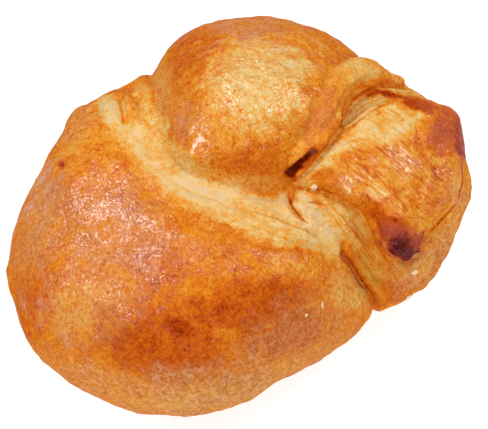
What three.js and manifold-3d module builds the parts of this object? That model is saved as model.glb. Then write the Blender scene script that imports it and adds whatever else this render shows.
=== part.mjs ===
// Garlic knot: one rope of dough tied in a loose knot and baked into a single roll.
// Millimetres, +Z up. The origin is the middle of the flat underside.
import * as THREE from "three";
import { mergeVertices } from "three/addons/utils/BufferGeometryUtils.js";
import Module from "manifold-3d";

const wasm = await Module();
wasm.setup();

// Driving dimensions
const knotLength = 97; // X, front lobe's left side to the tip of the tail
const knotDepth = 95; // Y, front lobe to the back of the crown
const knotHeight = 50; // Z, underside to the top of the crown
const ropeRadius = 20; // half the width of the risen rope
const capLength = 10; // length over which a full rope rounds off at its end

// Surface and finish
const crustColour = 0xc8782e;
const crustRoughness = 0.55;

// How finely the rope is lofted
const curveTension = 0.5;
const curveSamples = 400; // samples of a path's length
const endCrowding = 0.55; // 0 spaces the rings evenly, 1 crowds them into the rounded ends
const mergeDistance = 1e-4;

// Each strand is a stretch of the rope. A station is
// [x, y, z, wide, thick, lean]: x and y as shares of half the knot's length and depth, z of its
// height, wide and thick (half sizes) of the rope's radius, and the lean in degrees, which
// lowers the side to the right of the strand's way.
const strands = {
  // Fat lobe across the front, up the left side and under the crown
  front: {
    sides: 40,
    steps: 54,
    caps: [1, 1],
    squareness: 2.15,
    rightSide: 0.82, // the inside of the bend is pulled in
    stations: [
      [0.5, 0.02, 0.1, 0.34, 0.28, 0],
      [0.42, -0.09, 0.13, 0.48, 0.36, 0],
      [0.3, -0.21, 0.23, 0.74, 0.62, 0],
      [0.02, -0.35, 0.35, 1.03, 0.95, 0],
      [-0.28, -0.43, 0.37, 1.2, 1.03, 0],
      [-0.53, -0.27, 0.37, 1.16, 1.05, 0],
      [-0.53, 0.04, 0.38, 0.98, 1.03, 0],
      [-0.49, 0.28, 0.4, 0.83, 0.93, 0],
      [-0.4, 0.46, 0.35, 0.7, 0.83, 0],
      [-0.25, 0.67, 0.28, 0.6, 0.7, 0],
    ],
  },
  // Low half of the loop, round the back and the right side
  ring: {
    sides: 26,
    steps: 34,
    caps: [0.8, 0.8],
    squareness: 2.1,
    stations: [
      [-0.37, 0.51, 0.22, 0.5, 0.6, 0],
      [-0.08, 0.72, 0.22, 0.55, 0.6, 0],
      [0.29, 0.72, 0.22, 0.55, 0.6, 0],
      [0.6, 0.55, 0.22, 0.55, 0.6, 0],
      [0.74, 0.27, 0.19, 0.55, 0.55, 0],
      [0.64, 0, 0.16, 0.5, 0.45, 0],
      [0.37, -0.13, 0.16, 0.45, 0.45, 0],
    ],
  },
  // Domed lobe that comes over the back and dives into the middle
  crown: {
    sides: 40,
    steps: 34,
    caps: [1.6, 1.3],
    squareness: 2.15,
    stations: [
      [0.12, 1.01, 0.18, 1, 0.6, 0],
      [0.1, 0.82, 0.32, 1.2, 0.85, 0],
      [0.07, 0.59, 0.47, 1.23, 1, 0],
      [0.02, 0.32, 0.58, 1.03, 1.03, 0],
      [-0.01, 0.08, 0.61, 0.83, 0.95, 0],
      [0, -0.15, 0.62, 0.7, 0.8, 0],
    ],
  },
  // Stretched dough in the valley between the front lobe and the crown, drawn out in long ridges
  valley: {
    sides: 64,
    steps: 30,
    caps: [1.2, 1.4],
    squareness: 2,
    ridges: 16,
    ridgeDepth: 0.07,
    stations: [
      [-0.45, 0.3, 0.54, 0.4, 0.3, -18],
      [-0.36, 0.06, 0.61, 0.55, 0.3, -20],
      [-0.18, -0.14, 0.61, 0.6, 0.33, -20],
      [0.08, -0.22, 0.58, 0.55, 0.33, -20],
      [0.33, -0.26, 0.44, 0.4, 0.25, -15],
    ],
  },
  // Rolled edge that wraps the crown's right side
  collar: {
    sides: 16,
    steps: 30,
    caps: [0.5, 0.5],
    squareness: 2,
    stations: [
      [0.71, 0.54, 0.47, 0.2, 0.2, 0],
      [0.62, 0.61, 0.59, 0.22, 0.2, 0],
      [0.49, 0.54, 0.73, 0.22, 0.2, 0],
      [0.36, 0.31, 0.82, 0.22, 0.2, 0],
      [0.27, 0.11, 0.79, 0.2, 0.2, 0],
      [0.18, -0.05, 0.71, 0.13, 0.2, 0],
    ],
  },
  // Inner fold between the collar and the tail
  fold: {
    sides: 16,
    steps: 26,
    caps: [0.5, 0.5],
    squareness: 2,
    stations: [
      [0.19, -0.02, 0.58, 0.2, 0.2, 0],
      [0.41, 0.18, 0.65, 0.3, 0.2, 0],
      [0.6, 0.4, 0.64, 0.35, 0.2, 0],
      [0.72, 0.48, 0.56, 0.35, 0.2, 0],
      [0.82, 0.48, 0.46, 0.3, 0.2, 0],
    ],
  },
  // Flattened tail that pops out of the knot to the right
  tail: {
    sides: 36,
    steps: 30,
    caps: [0.5, 0.5],
    squareness: 2.6,
    heading: 0,
    stations: [
      [0.18, -0.03, 0.62, 0.16, 0.17, 10],
      [0.34, 0.03, 0.68, 0.28, 0.25, 10],
      [0.49, 0.08, 0.68, 0.48, 0.3, 13],
      [0.59, 0.08, 0.66, 0.74, 0.3, 16],
      [0.67, 0.07, 0.63, 0.86, 0.3, 18],
      [0.79, 0.09, 0.57, 0.84, 0.29, 21],
      [0.92, 0.12, 0.5, 0.72, 0.27, 22],
    ],
  },
  // Second layer of the tail, folded under the first
  under: {
    sides: 32,
    steps: 28,
    caps: [0.6, 0.7],
    squareness: 3.4,
    heading: -20,
    stations: [
      [0.14, -0.06, 0.52, 0.45, 0.35, 20],
      [0.34, -0.04, 0.54, 0.68, 0.4, 26],
      [0.53, -0.01, 0.43, 0.88, 0.4, 30],
      [0.7, 0, 0.31, 0.94, 0.38, 29],
      [0.855, -0.02, 0.19, 0.84, 0.34, 27],
    ],
  },
  // Pale dough pulled thin in the throat of the knot
  throat: {
    sides: 14,
    steps: 18,
    caps: [0.4, 0.4],
    squareness: 2,
    stations: [
      [0.1, -0.08, 0.59, 0.2, 0.2, 0],
      [0.23, -0.18, 0.59, 0.28, 0.2, 0],
      [0.32, -0.25, 0.52, 0.28, 0.2, 0],
      [0.36, -0.29, 0.47, 0.2, 0.18, 0],
    ],
  },
  // Risen dough that closes the hole of the loop
  core: {
    sides: 24,
    steps: 20,
    caps: [1.4, 1.4],
    squareness: 2,
    stations: [
      [-0.54, -0.08, 0.24, 1, 0.8, 0],
      [-0.16, 0.04, 0.26, 1.1, 0.95, 0],
      [0.21, 0.13, 0.24, 1.2, 0.9, 0],
      [0.7, 0.21, 0.16, 0.9, 0.6, 0],
    ],
  },
};

const up = new THREE.Vector3(0, 0, 1);

// Smooth curve through three columns of the stations, each column at its own scale
function curveThrough(stations, firstColumn, scales) {
  const points = stations.map((station) => {
    const values = scales.map((scale, i) => station[firstColumn + i] * scale);
    return new THREE.Vector3(...values);
  });
  return new THREE.CatmullRomCurve3(points, false, "catmullrom", curveTension);
}

// Share of the full section at a distance from the strand's end: a quarter ellipse
function dome(distance, cap) {
  const short = 1 - Math.min(1, distance / cap);
  return Math.sqrt(1 - short * short);
}

// Across and outward directions of the section at t, turned by the strand's lean. A strand with
// a heading keeps its sections square to that bearing, in degrees from +X, where its path wanders.
function sectionFrame(path, t, leanDegrees, heading) {
  const along = path.getTangent(t);
  if (heading !== undefined) {
    const bearing = THREE.MathUtils.degToRad(heading);
    const level = Math.hypot(along.x, along.y);
    along.set(level * Math.cos(bearing), level * Math.sin(bearing), along.z);
  }
  const across = new THREE.Vector3().crossVectors(along, up).normalize();
  const outward = new THREE.Vector3().crossVectors(across, along).normalize();
  const lean = THREE.MathUtils.degToRad(leanDegrees);
  across.applyAxisAngle(along, lean);
  outward.applyAxisAngle(along, lean);
  return { across, outward };
}

// Triangles of a loft of rings, closed by one point at each end
function loftIndex(ringCount, sides) {
  const index = [];
  const lastRing = (ringCount - 1) * sides;
  const startPoint = ringCount * sides;
  const endPoint = startPoint + 1;
  for (let j = 0; j < sides; j++) {
    const next = (j + 1) % sides;
    for (let ring = 0; ring < lastRing; ring += sides) {
      const a = ring + j;
      const b = ring + next;
      index.push(a, a + sides, b, b, a + sides, b + sides);
    }
    index.push(startPoint, j, next);
    index.push(endPoint, lastRing + next, lastRing + j);
  }
  return index;
}

// One strand: superellipse sections along its path, rounded off inside both ends
function strandGeometry(strand) {
  const { sides, steps, caps, squareness, heading, stations } = strand;
  const { rightSide = 1, ridges = 0, ridgeDepth = 0 } = strand;
  const path = curveThrough(stations, 0, [knotLength / 2, knotDepth / 2, knotHeight]);
  const sizes = curveThrough(stations, 3, [ropeRadius, ropeRadius, 1]);
  const lengths = path.getLengths(curveSamples);
  const whole = lengths[curveSamples];
  const roundish = (c) => Math.sign(c) * Math.abs(c) ** (2 / squareness);
  const positions = [];
  for (let i = 1; i < steps; i++) {
    const even = i / steps;
    const eased = (1 - Math.cos(Math.PI * even)) / 2;
    const t = THREE.MathUtils.lerp(even, eased, endCrowding);
    const centre = path.getPoint(t);
    const { x: wide, y: thick, z: lean } = sizes.getPoint(t);
    const { across, outward } = sectionFrame(path, t, lean, heading);
    const travelled = lengths[Math.round(t * curveSamples)];
    const startShare = dome(travelled, caps[0] * capLength);
    const endShare = dome(whole - travelled, caps[1] * capLength);
    for (let j = 0; j < sides; j++) {
      const angle = (j / sides) * 2 * Math.PI;
      const side = Math.cos(angle) > 0 ? rightSide : 1;
      const share = startShare * endShare * (1 + ridgeDepth * Math.cos(ridges * angle));
      const point = centre.clone();
      point.addScaledVector(across, wide * share * side * roundish(Math.cos(angle)));
      point.addScaledVector(outward, thick * share * roundish(Math.sin(angle)));
      positions.push(...point.toArray());
    }
  }
  positions.push(...path.getPoint(0).toArray(), ...path.getPoint(1).toArray());
  const geometry = new THREE.BufferGeometry();
  geometry.setAttribute("position", new THREE.Float32BufferAttribute(positions, 3));
  geometry.setIndex(loftIndex(steps - 1, sides));
  return geometry;
}

function solidOf(geometry) {
  geometry.deleteAttribute("normal");
  geometry.deleteAttribute("uv");
  const merged = mergeVertices(geometry, mergeDistance);
  const vertProperties = merged.attributes.position.array;
  const triVerts = new Uint32Array(merged.index.array);
  return new wasm.Manifold(new wasm.Mesh({ numProp: 3, vertProperties, triVerts }));
}

function geometryOf(solid) {
  const { vertProperties, triVerts } = solid.getMesh();
  const geometry = new THREE.BufferGeometry();
  geometry.setAttribute("position", new THREE.Float32BufferAttribute(vertProperties, 3));
  geometry.setIndex(new THREE.BufferAttribute(triVerts, 1));
  return geometry;
}

// The strands joined into one solid, with everything below the table cut away
function knotSolid() {
  const belowTable = new THREE.BoxGeometry(2 * knotLength, 2 * knotDepth, knotHeight);
  belowTable.translate(0, 0, -knotHeight / 2);
  const solids = Object.values(strands).map((strand) => solidOf(strandGeometry(strand)));
  const joined = solids.reduce((knot, strand) => knot.add(strand));
  return joined.subtract(solidOf(belowTable));
}

// Fits the baked roll to its named sizes and centres it over the origin
function fitToSize(geometry) {
  geometry.computeBoundingBox();
  const centre = geometry.boundingBox.getCenter(new THREE.Vector3());
  const size = geometry.boundingBox.getSize(new THREE.Vector3());
  geometry.translate(-centre.x, -centre.y, 0);
  geometry.scale(knotLength / size.x, knotDepth / size.y, knotHeight / size.z);
  geometry.computeVertexNormals();
  return geometry;
}

const crust = new THREE.MeshStandardMaterial({
  color: crustColour,
  roughness: crustRoughness,
  metalness: 0,
});
const garlicKnot = new THREE.Mesh(fitToSize(geometryOf(knotSolid())), crust);
garlicKnot.name = "garlic_knot";

const roll = new THREE.Group();
roll.add(garlicKnot);
export default roll;
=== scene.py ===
import math
import random

import bmesh
import bpy
import numpy as np
from mathutils import Matrix, Vector, noise
from mathutils.bvhtree import BVHTree
from mathutils.kdtree import KDTree


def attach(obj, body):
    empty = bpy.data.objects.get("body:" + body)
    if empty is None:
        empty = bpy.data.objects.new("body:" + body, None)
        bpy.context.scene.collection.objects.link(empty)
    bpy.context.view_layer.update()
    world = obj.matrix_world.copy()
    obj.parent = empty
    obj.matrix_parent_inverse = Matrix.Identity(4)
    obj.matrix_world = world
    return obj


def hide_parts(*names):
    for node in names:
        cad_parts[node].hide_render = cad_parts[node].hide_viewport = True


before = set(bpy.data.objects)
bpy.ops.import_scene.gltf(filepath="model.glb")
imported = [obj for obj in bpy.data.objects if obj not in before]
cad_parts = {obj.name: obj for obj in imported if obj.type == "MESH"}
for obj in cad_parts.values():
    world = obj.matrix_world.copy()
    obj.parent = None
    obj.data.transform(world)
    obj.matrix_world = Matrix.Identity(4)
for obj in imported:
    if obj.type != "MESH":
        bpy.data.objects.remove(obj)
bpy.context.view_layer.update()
scene = bpy.context.scene
mm = 0.001
print("frame loaded")


def addObject(name, data):
    item = bpy.data.objects.new(name, data)
    scene.collection.objects.link(item)
    return item


# Camera, at the photograph's viewing angle
view = {
    "width": 488,  # the picture, in pixels
    "height": 429,
    "elevation": 50.0,  # degrees above the table
    "distance": 0.45,
    "target": (0.00005, -0.0034, 0.022),
    "pixelsPerMetre": 4800.0,  # at the target
    "sensor": 36.0,
    "clipStart": 0.01,
}


def makeCamera():
    lift = math.radians(view["elevation"])
    back = Vector((0, -math.cos(lift), math.sin(lift)))
    data = bpy.data.cameras.new("photoCamera")
    data.sensor_width = view["sensor"]
    data.lens = view["sensor"] * view["distance"] * view["pixelsPerMetre"] / view["width"]
    data.clip_start = view["clipStart"]
    camera = addObject("photoCamera", data)
    camera.location = Vector(view["target"]) + back * view["distance"]
    camera.rotation_euler = (-back).to_track_quat("-Z", "Y").to_euler()
    scene.camera = camera
    return camera


camera = makeCamera()
cameraTurn = camera.rotation_euler.to_matrix()
pixelSlope = view["sensor"] / camera.data.lens / view["width"]  # tangent of one pixel
pixel = 1 / view["pixelsPerMetre"]  # size of one pixel on the roll


def photoHit(tree, px, py):
    # what the line of sight through a pixel meets first: place, normal, face and distance
    across = (px - view["width"] / 2) * pixelSlope
    down = (py - view["height"] / 2) * pixelSlope
    return tree.ray_cast(camera.location, (cameraTurn @ Vector((across, -down, -1))).normalized())


def photoPlace(points):
    local = (points - np.array(camera.location)) @ np.array(cameraTurn)
    px = view["width"] / 2 - local[:, 0] / local[:, 2] / pixelSlope
    py = view["height"] / 2 + local[:, 1] / local[:, 2] / pixelSlope
    return px, py


print("camera set")


# Dough skin: the solid's form as a fine, even mesh that can be pushed and painted point by point
skin = {
    "voxel": 0.74 * mm,
    "fineEdge": 0.37 * mm,  # size of the mesh after its fine zones are split once
    "fineZones": {
        # pixel, half width and half height in pixels, turn in degrees
        "knot": ((386, 180), (96, 118), 0),
        "valley": ((236, 208), (112, 24), 22),
        "pleats": ((124, 112), (34, 34), 0),
    },
    "firstRounds": 4,  # smoothing before the bend of the skin is measured
    "settleRounds": 60,  # smoothing that takes the facets out
    "relaxShare": 0.6,
    "softBend": 45.0,  # points that bend less than this (per metre) are smoothed in full
    "sharpBend": 110.0,  # and edges that bend more than this keep most of their shape
    "sharpHold": 0.85,
    "creaseAngle": 9.0,  # a hollow edge sharper than this parts two folds of the solid
    "weld": 0.001 * mm,
    "flatFoot": 0.4 * mm,  # points this low stay on the table
}


def smoothStep(low, high, values):
    share = np.clip((values - low) / (high - low), 0, 1)
    return share * share * (3 - 2 * share)


def gauss(values, width):
    return np.exp(-(values / width) ** 2)


def ovalReach(px, py, middle, size, turn):
    # distance from the middle of a turned oval of pixels, 1 on its edge
    c, s = math.cos(math.radians(turn)), math.sin(math.radians(turn))
    dx, dy = px - middle[0], py - middle[1]
    return np.hypot((dx * c + dy * s) / size[0], (dy * c - dx * s) / size[1])


class Skin:
    def __init__(self, mesh):
        self.mesh = mesh
        count = len(mesh.vertices)
        self.co = np.zeros(count * 3)
        mesh.vertices.foreach_get("co", self.co)
        self.co = self.co.reshape(-1, 3)
        ends = np.zeros(len(mesh.edges) * 2, dtype=np.int64)
        mesh.edges.foreach_get("vertices", ends)
        self.ends = ends.reshape(-1, 2)
        self.valence = np.bincount(ends, minlength=count)
        lengths = np.linalg.norm(self.co[self.ends[:, 0]] - self.co[self.ends[:, 1]], axis=1)
        self.edge = np.bincount(ends, np.repeat(lengths, 2), count) / self.valence
        self.pace = np.clip((skin["fineEdge"] / self.edge) ** 2, 0.1, 1)  # evens out smoothing
        self.faces = [tuple(p.vertices) for p in mesh.polygons]
        self.foot = self.co[:, 2] < skin["flatFoot"]
        self.refresh()

    def refresh(self):
        self.co[self.foot, 2] = 0
        self.co[:, 2] = np.maximum(self.co[:, 2], 0)
        self.mesh.vertices.foreach_set("co", self.co.ravel())
        self.mesh.update()
        normals = np.zeros(len(self.co) * 3)
        self.mesh.vertex_normals.foreach_get("vector", normals)
        self.normal = normals.reshape(-1, 3)
        self.px, self.py = photoPlace(self.co)

    def neighbourMean(self, values):
        a, b = self.ends[:, 0], self.ends[:, 1]
        columns = values.reshape(len(values), -1)
        total = np.zeros_like(columns)
        for i in range(columns.shape[1]):
            total[:, i] += np.bincount(a, columns[b, i], len(columns))
            total[:, i] += np.bincount(b, columns[a, i], len(columns))
        return (total / self.valence[:, None]).reshape(values.shape)

    def blur(self, values, rounds):
        for _ in range(rounds):
            values = 0.5 * values + 0.5 * self.neighbourMean(values)
        return values

    def full(self, value):
        return np.full(len(self.co), float(value))

    def eyeward(self):
        # directions to the camera, and how far each point faces it
        toEye = np.array(camera.location) - self.co
        toEye /= np.linalg.norm(toEye, axis=1)[:, None]
        return toEye, (self.normal * toEye).sum(axis=1)

    def relax(self, rounds, weight):
        share = (weight * self.pace)[:, None]
        for _ in range(rounds):
            self.co = self.co + share * (self.neighbourMean(self.co) - self.co)
        self.refresh()

    def settle(self):
        self.relax(skin["firstRounds"], skin["relaxShare"])
        bend = np.linalg.norm(self.neighbourMean(self.co) - self.co, axis=1) / self.edge ** 2
        keep = smoothStep(skin["softBend"], skin["sharpBend"], self.blur(bend, 5))
        self.relax(skin["settleRounds"], skin["relaxShare"] * (1 - skin["sharpHold"] * keep))

    def push(self, amount):
        self.co = self.co + self.normal * amount[:, None]
        self.refresh()

    def tree(self):
        return BVHTree.FromPolygons([Vector(p) for p in self.co], self.faces)

    def noise(self, size, seed=0, places=None):
        # smooth noise from about -1 to 1, with lumps of the given size
        shift = Vector((seed * 7.3, seed * 3.1, seed * 11.7))
        spots = self.co if places is None else places
        return np.array([noise.noise(Vector(p) / size + shift) for p in spots])

    def attribute(self, name, values):
        kind, field = ("FLOAT", "value") if values.ndim == 1 else ("FLOAT_VECTOR", "vector")
        layer = self.mesh.attributes.new(name, kind, "POINT")
        layer.data.foreach_set(field, values.astype(np.float32).ravel())


def remeshed(source, voxel):
    helper = addObject("remeshHelper", source.data.copy())
    remesh = helper.modifiers.new("remesh", "REMESH")
    remesh.mode = "VOXEL"
    remesh.voxel_size = voxel
    graph = bpy.context.evaluated_depsgraph_get()
    mesh = bpy.data.meshes.new_from_object(helper.evaluated_get(graph))
    bpy.data.objects.remove(helper)
    return mesh


def splitFineZones(mesh):
    shell = bmesh.new()
    shell.from_mesh(mesh)
    middles = np.array([face.calc_center_median() for face in shell.faces])
    facing = np.array([face.normal for face in shell.faces])
    facing = (facing * (np.array(camera.location) - middles)).sum(axis=1) > 0
    px, py = photoPlace(middles)
    fine = np.zeros(len(middles), dtype=bool)
    for middle, size, turn in skin["fineZones"].values():
        fine |= facing & (ovalReach(px, py, middle, size, turn) < 1)
    shell.faces.index_update()
    edges = [edge for edge in shell.edges if any(fine[face.index] for face in edge.link_faces)]
    bmesh.ops.subdivide_edges(shell, edges=edges, cuts=1, use_grid_fill=True)
    shell.to_mesh(mesh)
    shell.free()
    return mesh


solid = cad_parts["garlic_knot"]
dough = Skin(splitFineZones(remeshed(solid, skin["voxel"])))
dough.settle()
print("skin made:", len(dough.co), "points,", sum(len(face) - 2 for face in dough.faces), "triangles")


# Folds: the solid's surface is parted at its hollow creases, and each fold is named by pixels on it
foldSeeds = {
    "front": [(120, 300)],
    "crown": [(250, 80)],
    "valley": [(206, 178), (206, 193), (250, 218)],
    "collar": [(335, 100)],
    "inner": [(380, 96), (395, 95)],
    "tail": [(400, 170)],
    "under": [(385, 280), (463, 180)],
    "throat": [(312, 222)],
}


def foldPatches():
    shell = bmesh.new()
    shell.from_mesh(solid.data)
    bmesh.ops.remove_doubles(shell, verts=shell.verts, dist=skin["weld"])
    shell.faces.ensure_lookup_table()
    limit = -math.radians(skin["creaseAngle"])
    patch = [-1] * len(shell.faces)
    count = 0
    for start in shell.faces:
        if patch[start.index] >= 0:
            continue
        stack = [start]
        patch[start.index] = count
        while stack:
            face = stack.pop()
            for edge in face.edges:
                if len(edge.link_faces) != 2 or edge.calc_face_angle_signed() < limit:
                    continue
                for other in edge.link_faces:
                    if patch[other.index] < 0:
                        patch[other.index] = count
                        stack.append(other)
        count += 1
    tree = BVHTree.FromBMesh(shell)
    shell.free()
    return tree, patch


def foldMasks():
    tree, patch = foldPatches()
    named = {}
    for name, seeds in foldSeeds.items():
        for px, py in seeds:
            named.setdefault(patch[photoHit(tree, px, py)[2]], name)
    owner = np.array([patch[tree.find_nearest(Vector(p))[2]] for p in dough.co])
    masks = {"any": dough.full(1)}
    for name in foldSeeds:
        mine = [p for p, other in named.items() if other == name]
        masks[name] = np.isin(owner, mine).astype(float)
    return masks


fold = foldMasks()
print("folds named:", {name: int(mask.sum()) for name, mask in fold.items()})


# Lines: a line of pixels is laid on the dough, and shapes or paints the points near it
lineLay = {
    "step": 2,  # pixels from one spot to the next
    "fewestSpots": 5,
    "smoothRounds": 4,
}


class DoughLine:
    def __init__(self, tree, pixels, reach):
        corners = np.array(pixels, dtype=float)
        steps = np.concatenate([[0], np.cumsum(np.hypot(*np.diff(corners, axis=0).T))])
        places = np.linspace(0, steps[-1], max(lineLay["fewestSpots"], int(steps[-1] / lineLay["step"])))
        route = zip(np.interp(places, steps, corners[:, 0]), np.interp(places, steps, corners[:, 1]))
        spots = [photoHit(tree, px, py)[0] for px, py in route]
        self.spots = self.smoothed(np.array([spot for spot in spots if spot is not None]))
        self.length = np.concatenate([[0], np.cumsum(np.linalg.norm(np.diff(self.spots, axis=0), axis=1))])
        self.measure(reach)

    def smoothed(self, spots):
        for _ in range(lineLay["smoothRounds"]):
            middle = (spots[:-2] + 2 * spots[1:-1] + spots[2:]) / 4
            spots = np.concatenate([spots[:1], middle, spots[-1:]])
        return spots

    def measure(self, reach):
        low = self.spots.min(axis=0) - reach
        high = self.spots.max(axis=0) + reach
        self.near = np.flatnonzero(((dough.co > low) & (dough.co < high)).all(axis=1))
        gaps = dough.co[self.near][:, None, :] - self.spots[None]
        away = np.linalg.norm(gaps, axis=2)
        nearest = away.argmin(axis=1)
        rows = np.arange(len(nearest))
        tangents = np.gradient(self.spots, axis=0)
        tangents /= np.linalg.norm(tangents, axis=1)[:, None]
        leftward = np.cross(dough.normal[self.near], tangents[nearest])
        self.away = away[rows, nearest]
        self.side = (gaps[rows, nearest] * leftward).sum(axis=1)
        self.along = self.length[nearest] + (gaps[rows, nearest] * tangents[nearest]).sum(axis=1)
        self.share = np.clip(self.along / self.length[-1], 0, 1)

    def taper(self, ends):
        rise = smoothStep(0, max(ends[0], 1e-6), self.share)
        fall = smoothStep(0, max(ends[1], 1e-6), 1 - self.share)
        return rise * fall


def borderDistance(first, second):
    # distance of every point of two folds to the border between them
    a, b = dough.ends[:, 0], dough.ends[:, 1]
    crossing = fold[first][a] * fold[second][b] + fold[second][a] * fold[first][b] > 0
    middles = dough.co[dough.ends[crossing]].mean(axis=1)
    away = dough.full(1)
    if len(middles) == 0:
        return away
    tree = KDTree(len(middles))
    for i, place in enumerate(middles):
        tree.insert(place, i)
    tree.balance()
    for i in np.flatnonzero(fold[first] + fold[second]):
        away[i] = tree.find(dough.co[i])[2]
    return away


# Edges of folds, drawn to where the photograph has them
nudges = {
    # fold, pixel, move in pixels, radius in pixels
    "tail's tip": ("any", (404, 252), (0, 9), 22),
    "tail's low corner": ("any", (438, 238), (-13, -12), 25),
    "tail's left edge": ("any", (347, 196), (1, 8), 20),
    "collar's edge": ("any", (358, 104), (-8, 0), 15),
    "collar's foot": ("any", (318, 88), (7, 0), 18),
    "under layer's edge": ("any", (365, 281), (-7, 0), 17),
    "under layer's top": ("under", (464, 192), (0, -17), 24),
    "under layer's flank": ("under", (466, 216), (3, 0), 24),
    "under layer's corner": ("under", (470, 170), (-5, -8), 11),
    "pleat's back": ("any", (146, 78), (0, 11), 16),
    "left shoulder": ("any", (77, 113), (-4, -4), 15),
}


def nudgeEdges():
    across = np.array(cameraTurn @ Vector((1, 0, 0)))
    upward = np.array(cameraTurn @ Vector((0, 1, 0)))
    facing = smoothStep(-0.1, 0.15, dough.eyeward()[1])
    for where, (px, py), (right, down), radius in nudges.values():
        weight = gauss(np.hypot(dough.px - px, dough.py - py), radius) * facing * dough.blur(fold[where], 6)
        dough.co = dough.co + weight[:, None] * (right * across - down * upward) * pixel
        dough.refresh()


nudgeEdges()
print("edges nudged")


# Soft creases, which the risen dough has filled and rounded
softened = {
    # pixels, width in mm, rounds
    "crown's left foot": ([(158, 84), (160, 110), (162, 135), (172, 158)], 4.5, 210),
    "crown's front foot": ([(172, 158), (190, 178), (215, 192), (255, 194), (278, 188)], 1.4, 34),
    "valley": ([(130, 120), (150, 165), (185, 195), (235, 215), (290, 232), (330, 246)], 5.0, 70),
    "throat": ([(298, 190), (312, 205), (328, 225), (345, 250)], 2.6, 60),
    "inner fold": ([(340, 132), (346, 120), (354, 108), (366, 99), (380, 94)], 2.6, 170),
    "tail's left edge": ([(318, 192), (345, 204), (366, 218), (374, 234)], 1.8, 60),
}
softenShare = 0.85


def softenCreases():
    for pixels, width, rounds in softened.values():
        line = DoughLine(dough.tree(), pixels, 3 * width * mm)
        weight = dough.full(0)
        weight[line.near] = softenShare * gauss(line.away, width * mm)
        dough.relax(rounds, weight)


softenCreases()
print("creases softened")


# Sharp creases, where one fold lies on another
creases = {
    # upper fold, lower fold, then in mm: groove's depth and width, upper fold's shoulder, lower one's drop
    "tail on under layer": ("tail", "under", 0.5, 0.5, 0.5, 0.1),
    "tail on inner fold": ("tail", "inner", 0.45, 0.45, 0.4, 0.0),
    "tail on throat": ("tail", "throat", 0.5, 0.5, 0.4, 0.1),
    "collar on tail": ("collar", "tail", 0.7, 0.5, 0.4, 0.1),
    "collar on inner fold": ("collar", "inner", 0.6, 0.5, 0.6, -0.3),
    "collar on crown": ("collar", "crown", 0.5, 0.5, 0.2, 0.0),
    "under layer on front": ("under", "front", 0.9, 0.6, 0.4, 0.0),
    "throat on under layer": ("under", "throat", 0.4, 0.6, 0.2, 0.2),
    "crown on valley": ("crown", "valley", 0.3, 0.8, 0.0, 0.0),
    "crown on throat": ("crown", "throat", 0.8, 0.6, 0.0, 0.2),
}
creaseForm = {
    # in mm
    "shoulderAway": 1.7,
    "shoulderWidth": 1.1,
    "dropWidth": 2.2,
    "deepest": 1.6,
}


def pressCreases():
    form = creaseForm
    amount = dough.full(0)
    for upper, lower, depth, width, shoulder, drop in creases.values():
        away = borderDistance(upper, lower) / mm
        raised = gauss(away - form["shoulderAway"], form["shoulderWidth"])
        amount -= depth * gauss(away, width)
        amount += shoulder * raised * dough.blur(fold[upper], 2)
        amount -= drop * gauss(away, form["dropWidth"]) * dough.blur(fold[lower], 2)
    dough.push(np.maximum(amount, -form["deepest"]) * mm)


pressCreases()
print("creases pressed")


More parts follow.
